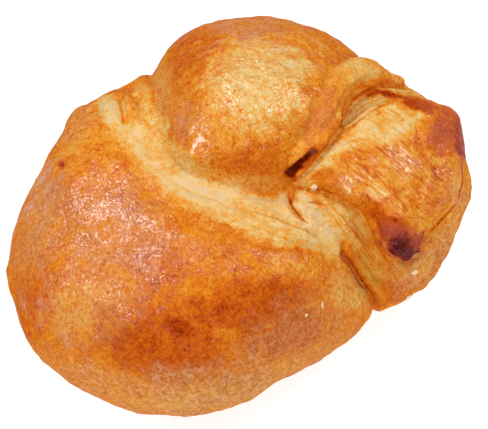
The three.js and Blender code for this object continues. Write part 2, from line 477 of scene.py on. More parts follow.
# Lines pressed into the dough or raised from it
pressedLines = {
    # pixels, width in mm, height in mm (minus is a groove), tapered ends
    "any": {
        "pleat": ([(117, 95), (119, 102), (122, 112), (124, 130)], 0.9, -1.3, (0.1, 0.3)),
        "thin pleat": ([(112, 102), (115, 118), (122, 134)], 0.7, -0.6, (0.2, 0.3)),
        "soft pleat": ([(89, 107), (97, 118), (106, 132)], 1.6, -0.8, (0.1, 0.4)),
        "back pleat": ([(135, 94), (137, 104), (140, 117), (146, 132)], 1.2, -1.2, (0.1, 0.4)),
        "pleat roll": ([(106, 99), (109, 110), (116, 130)], 1.6, 0.7, (0.1, 0.4)),
        "pleat bulge": ([(126, 96), (129, 106), (131, 120)], 1.8, 0.8, (0.1, 0.5)),
        "back bulge": ([(144, 80), (147, 96), (150, 112)], 2.2, 1.0, (0, 0.6)),
        "lens top": ([(187, 186), (230, 204), (270, 217), (297, 227), (328, 243)], 0.8, -0.9, (0.3, 0.1)),
        "lens belly": ([(215, 212), (255, 222), (295, 235), (325, 245)], 2.6, 0.9, (0.4, 0.3)),
        "lens foot": ([(160, 204), (185, 220), (225, 234), (270, 245), (332, 250)], 1.0, -0.6, (0.4, 0.1)),
        "valley fold": ([(165, 165), (200, 186), (245, 203), (285, 212)], 1.6, 0.6, (0.4, 0.3)),
        "valley fold 2": ([(135, 140), (155, 170), (185, 196), (220, 208)], 1.4, 0.5, (0.4, 0.4)),
        "lip": ([(342, 134), (355, 124), (373, 111), (391, 101), (404, 98)], 0.6, -0.6, (0.2, 0.1)),
        "lip roll": ([(350, 133), (362, 123), (377, 113), (393, 105), (408, 102)], 0.8, 0.5, (0.3, 0.1)),
        "hollow": ([(369, 93), (384, 93), (400, 97)], 1.0, -1.1, (0.1, 0.3)),
        "crevice": ([(290, 173), (301, 165), (313, 156)], 0.9, -3.0, (0.1, 0.2)),
        "tail lip": (
            [(366, 230), (378, 241), (391, 255), (404, 263), (418, 256), (429, 241)],
            0.8, -1.2, (0.3, 0.3),
        ),
        "throat crack": ([(289, 188), (291, 204), (299, 216), (311, 226)], 1.0, -2.2, (0.2, 0.3)),
        "throat crack 2": ([(308, 203), (324, 204)], 0.6, -0.9, (0.2, 0.2)),
    },
    "collar": {
        "edge": ([(386, 82), (364, 88), (349, 100), (340, 124), (308, 156)], 0.8, 0.5, (0.1, 0.1)),
        "crease": (
            [(390, 74), (362, 81), (347, 92), (338, 107), (332, 122), (308, 150)],
            0.7, -0.7, (0.1, 0.2),
        ),
        "hollow": ([(345, 79), (329, 98), (314, 124), (301, 147)], 2.2, -1.3, (0.2, 0.2)),
        "wrinkle": ([(342, 84), (328, 106), (313, 132)], 0.5, -0.25, (0.3, 0.3)),
    },
    "inner": {
        "crease": ([(349, 116), (366, 104), (386, 98)], 0.6, -0.3, (0.2, 0.2)),
    },
    "tail": {
        "bevel": ([(309, 180), (322, 166), (336, 153), (358, 143), (380, 142)], 0.9, 0.6, (0.2, 0.4)),
        "crease": ([(415, 121), (419, 140), (423, 155), (429, 171)], 0.7, -0.5, (0.2, 0.3)),
        "dip": ([(396, 168), (405, 190), (410, 208)], 1.8, -0.6, (0.3, 0.4)),
        "roll": ([(418, 186), (430, 202), (436, 214)], 2.0, 0.6, (0.4, 0.2)),
        "rim": ([(455, 140), (461, 165), (460, 195), (440, 216)], 0.9, 0.5, (0.2, 0.2)),
        "nose": ([(378, 228), (391, 243), (404, 251), (415, 242)], 1.5, 0.7, (0.3, 0.3)),
    },
    "under": {
        "ridge": ([(318, 196), (329, 208), (340, 223), (356, 238), (372, 256)], 0.8, 0.9, (0.2, 0.3)),
        "second ridge": ([(334, 232), (348, 252), (362, 274), (380, 298)], 0.9, 0.7, (0.3, 0.2)),
        "rim": ([(398, 298), (420, 284), (442, 262), (456, 236)], 0.8, 0.5, (0.2, 0.2)),
    },
    "front": {
        "skin crack": ([(209, 375), (217, 370), (226, 362), (240, 370)], 0.6, 0.3, (0.2, 0.2)),
        "skin crack 2": ([(268, 331), (278, 325)], 0.5, 0.25, (0.2, 0.2)),
        "dent arc": ([(165, 315), (178, 309), (190, 318)], 0.9, 0.35, (0.3, 0.3)),
        "dent lip": ([(182, 337), (189, 331), (195, 325)], 0.5, 0.3, (0.3, 0.3)),
    },
}
lineForm = {
    "reach": 3.5,  # in line widths
    "shoulderReach": 2.4,
    "shoulderShare": 0.35,  # of a groove's depth
}


def pressLines():
    form = lineForm
    tree = dough.tree()
    amount = dough.full(0)
    for where, lines in pressedLines.items():
        for pixels, width, height, ends in lines.values():
            line = DoughLine(tree, pixels, form["reach"] * width * mm)
            shape = gauss(line.away, width * mm)
            if height < 0:
                shoulder = gauss(line.away, form["shoulderReach"] * width * mm)
                shape = shape - form["shoulderShare"] * shoulder
            amount[line.near] += height * mm * shape * line.taper(ends) * fold[where][line.near]
    dough.push(amount)


pressLines()
print("lines pressed")


# Ridges of dough that was stretched along its flow
flows = {
    # fold, pixels, then in mm: half width, ridges' size, length and height, and last the share of streaks
    "valley": (
        "any",
        [(112, 100), (130, 125), (160, 164), (200, 192), (250, 212), (300, 232), (335, 250)],
        6.5, 1.7, 16, 0.42, 0.4,
    ),
    "under layer": ("under", [(326, 206), (345, 236), (366, 268), (392, 300)], 8.0, 1.7, 18, 0.32, 0.7),
    "tail": ("tail", [(345, 140), (385, 165), (420, 195), (440, 215)], 13.0, 1.3, 7, 0.32, 0.8),
    "collar": ("collar", [(385, 78), (350, 92), (326, 118), (303, 150)], 5.0, 1.5, 14, 0.18, 0.6),
}
ridgeForm = {
    "softAmount": 0.7,
    "sharpAmount": 0.6,
    "sharpStretch": 0.6,
    "fadeFrom": 0.55,  # in half widths
    "taper": (0.12, 0.08),
    "seeds": (20, 40),
    "flowGap": 0.05,  # keeps the streaks of one flow unlike another's
}


def stretchDough():
    form = ridgeForm
    tree = dough.tree()
    amount = dough.full(0)
    streak = dough.full(0)
    flow = np.zeros((len(dough.co), 3))
    for i, (where, pixels, halfWidth, size, length, height, streaks) in enumerate(flows.values()):
        line = DoughLine(tree, pixels, halfWidth * mm)
        mask = smoothStep(1.0, form["fadeFrom"], line.away / (halfWidth * mm)) * line.taper(form["taper"])
        mask = mask * dough.blur(fold[where], 2)[line.near]
        flat = np.zeros(len(line.near))
        places = np.stack([line.along / (length * mm), line.side / (size * mm), flat], axis=1)
        soft = dough.noise(1.0, form["seeds"][0] + i, places)
        sharp = 1 - 2 * np.abs(dough.noise(1.0, form["seeds"][1] + i, places * form["sharpStretch"]))
        ridges = form["softAmount"] * soft + form["sharpAmount"] * sharp
        amount[line.near] += height * mm * mask * ridges
        mask = mask * streaks
        picked = mask > streak[line.near]
        chosen = line.near[picked]
        flow[chosen] = np.stack([line.along, line.side, flat + form["flowGap"] * i], axis=1)[picked]
        streak[chosen] = mask[picked]
    dough.push(amount)
    dough.attribute("streak", dough.blur(streak, 2))
    dough.attribute("flow", flow)


stretchDough()
print("dough stretched")


# Dents, pits and the uneven swell of the crust
dents = {
    # pixel, radius in mm, depth in mm
    "brown dent": ((177, 326), 1.9, 0.5),
    "left hole": ((62, 165), 0.8, 1.3),
    "pleat pit": ((106, 110), 0.5, 0.8),
    "small dent": ((157, 338), 1.6, 0.2),
    "red pit": ((229, 101), 0.7, 0.35),
    "low left dent": ((75, 379), 2.2, 0.25),
    "front dimple": ((195, 345), 2.0, 0.2),
    "crown's shoulder": ((191, 160), 3.6, -1.5),
}
dentRim = {
    "share": 0.25,  # of the dent's depth
    "reach": 2,  # in dent radii
}
swells = {
    # lump size in mm, height in mm
    "broad": (15.0, 0.5),
    "lumps": (5.5, 0.45),
    "blisters": (2.8, 0.22),
    "wrinkles": (1.5, 0.15),
}


def pressDents():
    tree = dough.tree()
    amount = dough.full(0)
    for (px, py), radius, depth in dents.values():
        away = np.linalg.norm(dough.co - np.array(photoHit(tree, px, py)[0]), axis=1)
        rim = dentRim["share"] * gauss(away, dentRim["reach"] * radius * mm)
        amount -= depth * mm * (gauss(away, radius * mm) - rim)
    for seed, (size, height) in enumerate(swells.values()):
        amount += height * mm * dough.noise(size * mm, seed + 1)
    dough.push(amount)


pressDents()
print("dents and swells made")


# Paint: how far each point of the crust is baked, from 0, raw dough, to 1, nearly burnt. In the crevice,
# the hollow under the collar, small holes and the throat's cracks the darkest values are painted shade.
foldBake = {
    "front": 0.6,
    "valley": 0.2,
    "crown": 0.58,
    "collar": 0.46,
    "inner": 0.32,
    "tail": 0.47,
    "under": 0.52,
    "throat": 0.1,
}
otherBake = 0.46

# patches: pixel, half width and half height in pixels, turn in degrees, bake, strength
patches = {
    "front": {
        "top orange": ((95, 150), (34, 32), 0, 0.54, 0.9),
        "blotch": ((96, 168), (9, 7), 0, 0.64, 0.8),
        "second blotch": ((120, 168), (9, 7), 0, 0.62, 0.8),
        "left edge": ((45, 220), (20, 55), 15, 0.62, 0.8),
        "shine": ((105, 215), (45, 40), 0, 0.67, 0.8),
        "second shine": ((155, 262), (34, 24), 20, 0.81, 0.7),
        "low left edge": ((32, 300), (22, 44), 0, 0.73, 0.8),
        "middle": ((90, 310), (40, 30), 0, 0.46, 0.7),
        "brown belly": ((165, 345), (70, 42), 10, 0.8, 0.9),
        "brown right": ((250, 305), (55, 32), -15, 0.82, 0.85),
        "dent": ((178, 326), (13, 9), 20, 0.94, 0.9),
        "belly dark": ((150, 345), (14, 10), 0, 0.82, 0.6),
        "low right": ((290, 335), (42, 22), -28, 0.84, 0.75),
        "right end": ((348, 290), (20, 22), -30, 0.34, 0.8),
        "low left brown": ((75, 379), (12, 8), 20, 0.74, 0.7),
        # hole: painted shade, the dark inside of a small hole
        "hole": ((62, 165), (3, 4), 20, 1.0, 0.95),
        "upper edge": ((230, 262), (40, 14), 10, 0.61, 0.8),
        "upper right edge": ((300, 264), (38, 12), 5, 0.48, 0.8),
        "lower left rim": ((120, 388), (60, 16), 18, 0.54, 0.7),
        "rim": ((200, 398), (70, 10), -6, 0.42, 0.8),
        "lower right rim": ((285, 368), (60, 10), -24, 0.52, 0.7),
    },
    "crown": {
        "brown shoulder": ((200, 58), (36, 34), -20, 0.72, 0.9),
        "left": ((185, 90), (18, 24), 0, 0.62, 0.6),
        # light top: paler crust, partly a painted reflection of the light from behind
        "light top": ((262, 84), (56, 46), 10, 0.23, 0.95),
        "low brown": ((256, 160), (30, 18), 0, 0.71, 0.9),
        "middle": ((217, 136), (26, 24), 0, 0.46, 0.6),
        "back rim": ((250, 25), (60, 12), 0, 0.64, 0.8),
        "red blotch": ((312, 88), (14, 10), -40, 0.62, 0.85),
        "second red blotch": ((297, 119), (10, 8), -20, 0.6, 0.8),
        "right foot": ((300, 140), (14, 18), 30, 0.6, 0.7),
        "left flank": ((162, 92), (12, 26), 0, 0.46, 0.8),
        "front foot": ((245, 184), (34, 8), 0, 0.44, 0.7),
        "red pit": ((229, 101), (2.5, 2.5), 0, 0.84, 0.8),
    },
    "collar": {
        "top": ((365, 72), (26, 9), 30, 0.27, 0.9),
        "band": ((318, 114), (14, 30), 35, 0.68, 0.8),
        "flap": ((402, 87), (20, 8), 25, 0.32, 0.9),
    },
    "inner": {
        "pale fold": ((365, 108), (26, 14), -25, 0.26, 0.95),
        "flap": ((408, 88), (20, 7), 20, 0.4, 0.8),
    },
    "tail": {
        "back": ((386, 125), (40, 17), -20, 0.23, 0.95),
        "pale bevel": ((322, 160), (38, 9), -32, 0.17, 0.95),
        "pale left end": ((304, 184), (18, 9), 10, 0.22, 0.95),
        "left": ((330, 182), (22, 11), 20, 0.62, 0.95),
        "orange edge": ((362, 154), (32, 6), -6, 0.6, 0.8),
        # shine: paler colour where the tail shines, a painted highlight under the rendered gloss
        "shine": ((364, 189), (24, 11), 15, 0.27, 0.85),
        "low": ((372, 208), (22, 12), 35, 0.69, 0.9),
        "middle": ((400, 168), (34, 20), 30, 0.47, 0.8),
        "right": ((440, 190), (14, 26), 0, 0.6, 0.8),
        "burnt corner": ((445, 132), (24, 28), 30, 0.74, 0.9),
        "end brown": ((394, 230), (21, 15), 30, 0.9, 0.9),
        "small blotch": ((381, 124), (4, 3), 0, 0.5, 0.7),
    },
    "under": {
        "band": ((344, 221), (28, 14), 45, 0.27, 0.9),
        "face": ((372, 266), (20, 16), 50, 0.4, 0.8),
        "low end": ((392, 292), (16, 12), 0, 0.73, 0.8),
        "right flank": ((440, 240), (16, 36), 30, 0.47, 0.8),
    },
    "any": {
        "inner fold": ((360, 112), (26, 10), -40, 0.28, 0.95),
        "lip end": ((417, 104), (22, 7), 15, 0.94, 0.9),
        # hollow and its end: painted shade, the dark wedge of shadow under the collar's flap
        "hollow": ((373, 92), (9, 5), -10, 0.93, 0.9),
        "hollow's shaded end": ((388, 94), (15, 4.5), 14, 0.93, 0.95),
        "pleat": ((107, 110), (9, 18), -18, 0.2, 0.9),
        "mottled pleat": ((126, 104), (8, 18), -8, 0.7, 0.85),
        "back pleat": ((143, 96), (8, 16), -10, 0.36, 0.9),
        # pleat pit: painted shade, the dark inside of a small pit
        "pleat pit": ((106, 110), (1.8, 1.8), 0, 0.95, 0.9),
    },
}

# other layers of paint: pixel, half width and half height in pixels, turn in degrees, amount
dryCrust = {
    "front": {
        "left edge": ((40, 225), (22, 66), 15, 0.36),
        "left shoulder": ((74, 124), (24, 22), -40, 0.3),
        "low right": ((296, 344), (74, 40), -28, 0.36),
        "low part": ((90, 310), (50, 36), 0, 0.2),
        "right end": ((350, 290), (22, 26), -30, 0.2),
        "bottom rim": ((196, 404), (124, 38), -6, 0.6),
        "left rim": ((96, 398), (80, 36), 22, 0.42),
        "shine": ((114, 230), (66, 46), 30, 0.32),
    },
    "under": {
        "flank": ((434, 250), (34, 56), 35, 0.5),
    },
    "crown": {
        "left flank": ((160, 92), (12, 26), 0, 0.25),
        # back: paler dry crust along the top edge, partly a painted highlight of rim light
        "back": ((250, 24), (60, 14), 0, 0.3),
        "foot": ((245, 184), (36, 10), 0, 0.2),
    },
    "collar": {
        "band": ((318, 114), (16, 34), 35, 0.26),
    },
    "any": {
        "under layer's upper rim": ((466, 208), (8, 24), -6, 0.5),
        "under layer's rim": ((448, 244), (15, 25), 34, 0.55),
        "under layer's low rim": ((426, 278), (12, 20), 48, 0.45),
        # throat: greyer, darker colour here is painted shade in the throat's recess
        "throat": ((318, 214), (13, 24), -35, 0.22),
        "pale fold": ((362, 110), (26, 12), -38, 0.08),
        "valley": ((190, 190), (70, 22), 33, 0.12),
    },
}
burntCrust = {
    "tail": {
        "corner": ((447, 130), (20, 24), 25, 0.36),
        "corner's edge": ((461, 142), (7, 24), 0, 0.5),
        "tip's ring": ((402, 242), (26, 18), 25, 0.48),
        "tip": ((407, 254), (21, 14), 25, 0.9),
        "tip's edge": ((420, 240), (14, 7), -50, 0.45),
        "lip": ((430, 106), (12, 6), 20, 0.3),
    },
}
eggWash = {
    # over 1 it lies in pools
    "front": {
        "upper part": ((108, 232), (80, 60), 35, 1.0),
        "blob": ((86, 212), (26, 22), 0, 1.1),
        "second blob": ((156, 266), (26, 16), 35, 0.9),
        "low part": ((95, 300), (56, 40), 0, 0.7),
        "upper edge": ((262, 262), (96, 20), 5, 0.5),
    },
    "crown": {
        "left flank": ((192, 132), (26, 34), -10, 1.0),
        "blob": ((197, 143), (14, 15), -20, 2.4),
        "top": ((262, 84), (62, 52), 10, 0.8),
    },
    "tail": {
        "all over": ((404, 170), (70, 50), 0, 0.4),
        "left": ((330, 182), (22, 14), 0, 0.1),
        "left shine": ((365, 190), (23, 12), 15, 1.35),
        "middle shine": ((404, 164), (28, 14), 25, 1.15),
        "right shine": ((442, 183), (16, 18), 0, 1.25),
        "low edge": ((374, 209), (20, 12), 35, 0.04),
        "tip": ((404, 244), (24, 18), 20, 0.12),
        "corner": ((450, 130), (18, 24), 25, 0.3),
        "lip": ((420, 104), (26, 8), 12, 0.1),
    },
    "throat": {
        "all over": ((318, 215), (20, 30), 0, 0.4),
    },
}
plainGloss = 0.05
wrinkledCrust = {
    "tail": {
        "all over": ((396, 176), (64, 50), 20, 1.0),
        "back": ((385, 124), (42, 18), -20, 0.1),
    },
    "under": {
        "face": ((372, 262), (24, 40), -35, 0.4),
    },
    "crown": {
        "top": ((268, 84), (54, 44), 10, 0.4),
    },
    "front": {
        "upper edge": ((275, 262), (80, 18), 5, 0.5),
    },
}

# painted lines: fold, pixels, width in pixels, bake, strength
paintedLines = {
    "pale valley": ("any", [(118, 108), (140, 140), (165, 168), (200, 192), (246, 210)], 23, 0.14, 0.95),
    "palest valley": ("any", [(170, 178), (200, 194), (240, 208)], 13, 0.04, 0.8),
    "valley's right": ("any", [(236, 207), (262, 216), (296, 230), (332, 246)], 14, 0.23, 0.95),
    "lens": ("any", [(215, 214), (250, 225), (290, 237)], 11, 0.24, 0.9),
    "pale foot of crown": ("any", [(150, 120), (156, 145), (175, 170)], 12, 0.3, 0.8),
    "valley's end": ("any", [(262, 232), (290, 240), (326, 250)], 6, 0.34, 0.7),
    "pale throat": ("any", [(303, 196), (315, 211), (330, 234)], 7, 0.03, 0.95),
    "collar roll": ("collar", [(390, 80), (364, 86), (349, 98), (340, 122), (310, 154)], 6, 0.64, 0.8),
    "under layer's left edge": ("under", [(343, 246), (356, 268), (370, 290), (386, 309)], 5, 0.68, 0.8),
    "pleat brown": ("any", [(124, 92), (130, 108), (130, 122)], 8, 0.6, 0.7),
    "soft pleat": ("any", [(88, 104), (97, 118), (103, 128)], 5, 0.56, 0.6),
    # crevice lines: near-black painted shade laid into the deep crease
    "crevice": ("any", [(290, 173), (301, 165), (313, 156)], 6, 1.15, 0.97),
    "crevice shade core": ("any", [(291, 172), (301, 164), (312, 156)], 6, 1.15, 0.97),
    "throat shade": ("any", [(288, 188), (290, 203), (298, 216)], 5, 0.44, 0.6),
    "rim of under layer": (
        "under",
        [(400, 300), (420, 286), (440, 268), (456, 240), (466, 205)],
        5, 0.64, 0.6,
    ),
}

# browned edges: the fold painted, the fold it borders on, width in mm, bake, strength
brownedEdges = {
    "collar edge": ("collar", "inner", 1.6, 0.66, 0.85),
    "collar end": ("collar", "tail", 1.6, 0.7, 0.85),
    "under layer edge": ("under", "front", 1.3, 0.8, 0.8),
    "tail edge": ("tail", "under", 0.8, 0.74, 0.6),
}

# thin lines: pixels, width in pixels, bake
thinLines = {
    "red pleat": ([(117, 94), (119, 101), (122, 112), (124, 128)], 2.2, 0.66),
    # throat cracks: the dark lines are painted shade in the cracks
    "throat crack": ([(289, 190), (290, 203), (299, 216), (309, 225)], 1.6, 0.84),
    "throat crack 2": ([(306, 203), (316, 202), (325, 206)], 0.9, 0.88),
    "lip": ([(342, 134), (355, 124), (373, 111), (391, 101), (406, 98)], 1.8, 0.68),
    "valley fold": ([(146, 164), (170, 181), (196, 194), (230, 205)], 2.2, 0.26),
    "valley line": ([(232, 206), (270, 217), (297, 227), (313, 234)], 1.6, 0.46),
    "under line": ([(324, 204), (337, 222), (350, 240), (364, 259), (377, 281), (388, 302)], 1.5, 0.52),
    "ridge line": ([(333, 207), (345, 221), (357, 236), (366, 250), (379, 270)], 1.6, 0.64),
    "third line": ([(345, 214), (358, 229), (369, 243), (377, 256)], 1.2, 0.56),
    "edge line": ([(350, 247), (362, 267), (375, 288), (388, 304)], 1.3, 0.42),
    "tail crease": ([(415, 121), (419, 140), (423, 155), (429, 171)], 1.2, 0.74),
    "tail rim": ([(461, 150), (463, 180), (457, 203), (440, 221), (424, 239)], 2.2, 0.95),
    "tail wrinkle": ([(389, 155), (398, 163), (407, 172)], 1.1, 0.7),
    "tail wrinkle 2": ([(401, 148), (412, 160), (420, 173), (427, 186)], 1.0, 0.7),
    "tail wrinkle 3": ([(347, 168), (360, 174), (374, 184)], 1.0, 0.66),
    "tail wrinkle 4": ([(372, 170), (384, 183), (394, 198)], 1.0, 0.68),
    "tail wrinkle 5": ([(434, 160), (442, 172), (446, 186)], 1.0, 0.72),
    "back wrinkle": ([(389, 109), (396, 113), (401, 116)], 1.0, 0.72),
    "inner line": ([(350, 115), (366, 104), (386, 97)], 1.1, 0.46),
    "collar line": ([(344, 83), (329, 104), (314, 130), (303, 148)], 1.1, 0.56),
    "rim line": ([(410, 290), (424, 280), (440, 267), (454, 248)], 1.5, 0.8),
}
thinForm = {
    "reach": 1.1 * mm,  # how far a thin line's own distance is kept
    "fadeFrom": 0.65,  # share of the reach
    "taper": (0.2, 0.2),
    "far": 9.0,  # distance of points that no line is near, in line widths
    "restBake": 0.7,
}

# sides that the photograph doesn't show: baked like the rest, paler near the tray, brown underneath
hiddenCrust = {
    "bake": 0.58,
    "mottle": [(20 * mm, 0.14, 31), (7 * mm, 0.08, 32)],  # size, amount, seed
    "topBrown": 0.08,
    "footPale": 0.12,
    "underBake": 0.72,
    "underMottle": [(9 * mm, 0.1, 33)],
    "dry": 0.12,
    "burnt": 0.0,
    "gloss": 0.22,
    "wrinkled": 0.1,
}

# where paint begins and where it is full, in shares of its own size
paintEdge = {
    "patch": (1.35, 0.55),
    "line": (1.4, 0.25),
    "border": (1.3, 0.5),
    "layer": (1.3, 0.5),
    "mottle": [(4 * mm, 0.34, 51), (1.6 * mm, 0.3, 52)],  # makes the edges uneven: size, amount, seed
}
sightLift = 0.15 * mm  # lines of sight start this far off the crust


def mottle(layers):
    return sum(amount * dough.noise(size, seed) for size, amount, seed in layers)


def visibleShare():
    tree = dough.tree()
    toEye, facing = dough.eyeward()
    seen = dough.full(0)
    for i in np.flatnonzero(facing > 0):
        start = Vector(dough.co[i] + dough.normal[i] * sightLift)
        seen[i] = tree.ray_cast(start, Vector(toEye[i]))[0] is None
    return dough.blur(seen, 1) * smoothStep(-0.02, 0.18, facing)


def hiddenBake():
    look = hiddenCrust
    height = dough.co[:, 2]
    level = look["bake"] + mottle(look["mottle"])
    level = level + look["topBrown"] * smoothStep(25 * mm, 45 * mm, height)
    level = level - look["footPale"] * smoothStep(12 * mm, 2 * mm, height)
    under = smoothStep(-0.5, -0.9, dough.normal[:, 2])
    return level * (1 - under) + under * (look["underBake"] + mottle(look["underMottle"]))


def foldValues(values, rest):
    result = dough.full(rest)
    for name, value in values.items():
        result = result + dough.blur(fold[name], 2) * (value - rest)
    return result


def paintBake():
    shown = foldValues(foldBake, otherBake)
    for where, spots in patches.items():
        here = dough.blur(fold[where], 1)
        for middle, size, turn, level, strength in spots.values():
            reach = ovalReach(dough.px, dough.py, middle, size, turn) * wander
            shown = shown + strength * smoothStep(*paintEdge["patch"], reach) * here * (level - shown)
    tree = dough.tree()
    for where, pixels, width, level, strength in paintedLines.values():
        line = DoughLine(tree, pixels, 2 * width * pixel)
        reach = line.away / (width * pixel) * wander[line.near]
        weight = strength * smoothStep(*paintEdge["line"], reach)
        shown[line.near] += weight * fold[where][line.near] * (level - shown[line.near])
    for first, second, width, level, strength in brownedEdges.values():
        reach = borderDistance(first, second) / (width * mm) * wander
        weight = strength * smoothStep(*paintEdge["border"], reach)
        shown = shown + weight * dough.blur(fold[first], 1) * (level - shown)
    return seen * shown + (1 - seen) * hiddenBake()


def drawThinLines():
    # signed distance to a thin line, in line widths, so that the shader can draw it finer than the mesh
    tree = dough.tree()
    reach = thinForm["reach"]
    side = dough.full(thinForm["far"])
    strength = dough.full(0)
    level = dough.full(thinForm["restBake"])
    best = dough.full(2 * reach)
    for pixels, width, lineBake in thinLines.values():
        line = DoughLine(tree, pixels, 2 * reach)
        closer = line.away < best[line.near]
        chosen = line.near[closer]
        best[chosen] = line.away[closer]
        side[chosen] = line.side[closer] / (width * pixel)
        fade = smoothStep(reach, thinForm["fadeFrom"] * reach, line.away)
        strength[chosen] = (fade * line.taper(thinForm["taper"]))[closer]
        level[chosen] = lineBake
    dough.attribute("lineSide", np.clip(side, -thinForm["far"], thinForm["far"]))
    dough.attribute("lineStrength", strength)
    dough.attribute("lineBake", level)


def paintLayer(name, rest, layer):
    amount = dough.full(rest)
    for where, ovals in layer.items():
        here = dough.blur(fold[where], 2)
        for middle, size, turn, level in ovals.values():
            reach = ovalReach(dough.px, dough.py, middle, size, turn) * wander
            amount = amount + smoothStep(*paintEdge["layer"], reach) * here * (level - amount)
    return seen * amount + (1 - seen) * hiddenCrust[name]


wander = 1 + mottle(paintEdge["mottle"])
seen = visibleShare()
bake = paintBake()
dough.attribute("bake", bake)
dough.attribute("dry", paintLayer("dry", 0, dryCrust))
dough.attribute("burnt", dough.blur(paintLayer("burnt", 0, burntCrust), 4))
dough.attribute("gloss", paintLayer("gloss", plainGloss, eggWash))
dough.attribute("wrinkled", paintLayer("wrinkled", 0, wrinkledCrust))
drawThinLines()
print("crust painted, mean bake", round(float(bake.mean()), 3))


# Material
def linear(red, green, blue):
    def one(value):
        share = value / 255
        return share / 12.92 if share <= 0.04045 else ((share + 0.055) / 1.055) ** 2.4
    return (one(red), one(green), one(blue), 1)


class Wire:
    def __init__(self, maker, socket):
        self.maker = maker
        self.socket = socket

    def maths(self, operation, first, second, clamp=False):
        settings = {"operation": operation, "use_clamp": clamp}
        return self.maker.node("ShaderNodeMath", settings, {0: first, 1: second})

    def __add__(self, other):
        return self.maths("ADD", self, other)

    def __sub__(self, other):
        return self.maths("SUBTRACT", self, other)

    def __rsub__(self, other):
        return self.maths("SUBTRACT", other, self)

    def __mul__(self, other):
        return self.maths("MULTIPLY", self, other)

    __radd__ = __add__
    __rmul__ = __mul__

    def __abs__(self):
        return self.maths("ABSOLUTE", self, 0)

    def clamped(self):
        return self.maths("ADD", self, 0, True)


class Finish:
    def __init__(self, name):
        self.material = bpy.data.materials.new(name)
        self.material.use_nodes = True
        self.tree = self.material.node_tree
        self.shader = self.tree.nodes["Principled BSDF"]

    def node(self, kind, settings=None, inputs=None, output=0):
        made = self.tree.nodes.new(kind)
        for name, value in (settings or {}).items():
            if name == "stops":
                self.fillRamp(made.color_ramp, value)
            else:
                setattr(made, name, value)
        for name, value in (inputs or {}).items():
            self.feed(made.inputs[name], value)
        return Wire(self, made.outputs[output])

    def fillRamp(self, ramp, stops):
        while len(ramp.elements) < len(stops):
            ramp.elements.new(0.5)
        for element, (place, colour) in zip(ramp.elements, stops):
            element.position = place
            element.color = colour

    def feed(self, socket, value):
        if isinstance(value, Wire):
            self.tree.links.new(value.socket, socket)
        else:
            socket.default_value = value

    def surface(self, **inputs):
        for name, value in inputs.items():
            self.feed(self.shader.inputs[name.replace("_", " ")], value)

    def cover(self, share, shader):
        # lays a second shader over the first
        dull = Wire(self, self.shader.outputs[0])
        mixed = self.node("ShaderNodeMixShader", {}, {0: share, 1: dull, 2: shader})
        self.feed(self.tree.nodes["Material Output"].inputs["Surface"], mixed)

    def blend(self, share, first, second):
        return self.node("ShaderNodeMix", {"data_type": "RGBA"}, {0: share, 6: first, 7: second}, 2)

    def ramp(self, stops, share):
        stops = [(place, linear(*shade)) for place, shade in stops]
        return self.node("ShaderNodeValToRGB", {"stops": stops}, {"Fac": share}, "Color")

    def bump(self, distance, height, strength=1.0):
        inputs = {"Strength": strength, "Distance": distance, "Height": height}
        return self.node("ShaderNodeBump", {}, inputs)

    def stretched(self, place, length, width):
        shares = (1 / length, 1 / width, 1)
        return self.node("ShaderNodeVectorMath", {"operation": "MULTIPLY"}, {0: place, 1: shares})

    def painted(self, name, output="Fac"):
        return self.node("ShaderNodeAttribute", {"attribute_name": name}, output=output)

    def noise(self, place, size, detail=2.0, distortion=0.0):
        inputs = {"Vector": place, "Scale": 1 / size, "Detail": detail, "Distortion": distortion}
        return self.node("ShaderNodeTexNoise", {"noise_dimensions": "3D"}, inputs)

    def objectPlace(self):
        return self.node("ShaderNodeTexCoord", output="Object")


crustLook = {
    "stops": [
        (0.0, (217, 187, 147)),
        (0.1, (223, 191, 132)),
        (0.2, (224, 183, 110)),
        (0.32, (221, 164, 80)),
        (0.45, (222, 146, 46)),
        (0.58, (214, 121, 26)),
        (0.7, (203, 100, 17)),
        (0.8, (188, 79, 12)),
        (0.9, (167, 57, 6)),
        # the darkest stop is reached mostly in the painted shade of the crevice, holes and hollow
        (1.0, (98, 25, 3)),
    ],
    "dryStops": [
        (0.3, (178, 108, 54)),
        (0.5, (200, 140, 86)),
        (0.7, (220, 174, 126)),
    ],
    "burntStops": [
        (0.2, (194, 92, 46)),
        (0.45, (164, 70, 48)),
        (0.7, (120, 36, 26)),
        (1.0, (74, 18, 18)),
    ],
    "patchSize": 4.5 * mm,
    "patchAmount": 0.55,
    "blotchSize": 1.5 * mm,
    "blotchAmount": 0.6,
    "curlSize": 0.75 * mm,
    "curlAmount": 0.8,
    "grainSize": 0.3 * mm,
    "grainAmount": 0.55,
    "netSize": 3.0 * mm,  # wrinkles that run every way
    "netFineness": 24,
    "netAmount": 0.2,
    "strandLength": 4.5 * mm,  # wrinkles that follow the flow of the dough
    "strandWidth": 1.5 * mm,
    "strandFineness": 16,
    "strandAmount": 0.29,
    "streakLength": 5 * mm,
    "streakWidth": 0.6 * mm,
    "streakAmount": 0.9,
    "bumpHeight": 0.22 * mm,
    "grainBump": 0.1,
    "streakBump": 0.6,
    "lineBump": 0.3,
    "wrinkleBump": 0.35,
    "dryContrast": 0.8,
    "burntCover": 2.2,
    "wrinkleDulls": 0.7,
    "poolFlattens": 0.85,  # pooled egg wash evens out the crust
    "poolDulls": 0.45,
    "dullRoughness": 0.55,
    "dullSpecular": 0.0,
    "washRoughness": 0.17,
    "washSpecular": 1.0,
}


